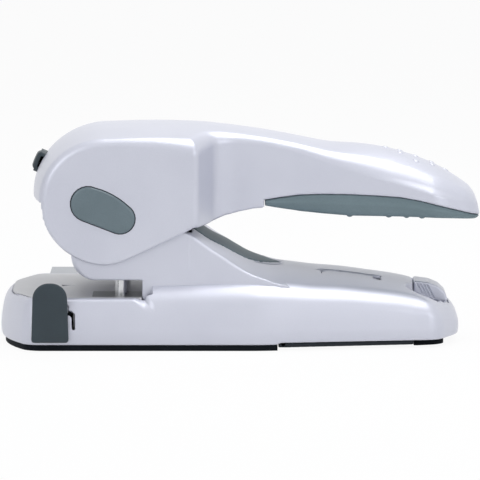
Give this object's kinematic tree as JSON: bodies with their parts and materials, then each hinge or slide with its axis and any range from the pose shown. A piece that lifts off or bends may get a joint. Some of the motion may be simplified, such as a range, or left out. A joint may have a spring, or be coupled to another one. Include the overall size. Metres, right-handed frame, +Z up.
{
  "type": "two-hole lever punch",
  "caption": "Heavy-duty desk punch with a long padded lever, paper table, sliding paper guide, chip door and spare-parts lid; the lever drives punch pins through dies.",
  "frame": {"origin": "on the underside of the rubber mat, under the middle of the base across and 138 mm from the nose", "axes": "+X runs from the nose of the base to the end of the lever, +Y to the side opposite the guide tab, +Z up"},
  "size_m": [0.2773, 0.1979, 0.1256],
  "materials": {
    "silver": "metallic silver, satin",
    "dark_grip": "fine matt grain",
    "dark_plastic": "fine matt grain",
    "cap_plastic": "satin",
    "black_plastic": "moulded",
    "rubber": "matt",
    "table_metal": "satin silver",
    "steel": "plain steel",
    "hard_steel": "ground and polished",
    "die_steel": "dark ground steel",
    "spring_steel": "drawn wire",
    "bush_brass": "turned",
    "guide_aluminium": "satin anodised"
  },
  "bodies": {
    "base": {"base_housing": "silver", "paper_table": "table_metal", "die_inserts": "die_steel", "ruler_channel": "black_plastic", "spare_tub": "black_plastic", "tower_housing": "silver", "slope_spine": "dark_grip", "frame_plate_near": "steel", "frame_plate_far": "steel", "frame_base": "steel", "frame_spacers": "steel", "frame_screws": "steel", "pivot_axle": "hard_steel", "axle_clips": "steel", "guide_block": "steel", "guide_bushes": "bush_brass", "return_springs": "spring_steel", "stop_bar": "steel", "stop_bumpers": "rubber", "base_mat": "rubber", "bottom_plate": "black_plastic", "base_screws": "steel", "door_pin": "steel", "end_foot": "rubber"},
    "lever": {"handle_shell": "silver", "handle_caps": "cap_plastic", "grip_insert": "dark_grip", "grip_screws": "dark_plastic", "lever_arm_near": "steel", "lever_arm_far": "steel", "lever_bushes": "bush_brass", "drive_axle": "hard_steel", "drive_rollers": "hard_steel", "drive_clips": "steel", "arm_spacer": "steel", "arm_screws": "steel"},
    "punch_bridge": {"punch_bridge": "steel", "punch_pins": "hard_steel", "pin_nuts": "steel"},
    "lock_button": {"lock_button": "dark_plastic", "lock_spring": "spring_steel"},
    "paper_guide": {"guide_bar": "guide_aluminium", "guide_tab": "dark_plastic"},
    "chip_door": {"chip_door": "dark_plastic"},
    "door_latch": {"door_latch": "silver"},
    "spare_lid": {"spare_lid": "silver"}
  },
  "joints": [
    {"name": "lever_pivot", "type": "hinge", "parent": "base", "child": "lever", "pos_m": [-0.0861, 0, 0.0836], "axis": [0, -1, 0], "range_deg": [0, 40]},
    {"name": "bridge_slide", "type": "slide", "parent": "base", "child": "punch_bridge", "axis": [0, 0, 1], "range_m": [0, 0.0138], "deforming": ["return_springs"]},
    {"name": "lock_press", "type": "slide", "parent": "lever", "child": "lock_button", "axis": [0.9205, 0, -0.3907], "range_m": [0, 0.003], "stiffness_N_per_m": 300, "springref_m": -0.003},
    {"name": "guide_slide", "type": "slide", "parent": "base", "child": "paper_guide", "axis": [0, -1, 0], "range_m": [0, 0.095]},
    {"name": "door_hinge", "type": "hinge", "parent": "base", "child": "chip_door", "pos_m": [0.0252, 0, 0.0035], "axis": [0, 1, 0], "range_deg": [0, 60]},
    {"name": "latch_slide", "type": "slide", "parent": "base", "child": "door_latch", "axis": [1, 0, 0], "range_m": [0, 0.003], "stiffness_N_per_m": 300, "springref_m": -0.003},
    {"name": "lid_hinge", "type": "hinge", "parent": "base", "child": "spare_lid", "pos_m": [0.0776, -0.016, 0.0318], "axis": [0, 1, 0], "range_deg": [0, 60]}
  ],
  "couplings": [
    {"joint": "bridge_slide", "follows": "lever_pivot", "m_per_rad": 0.0196}
  ]
}
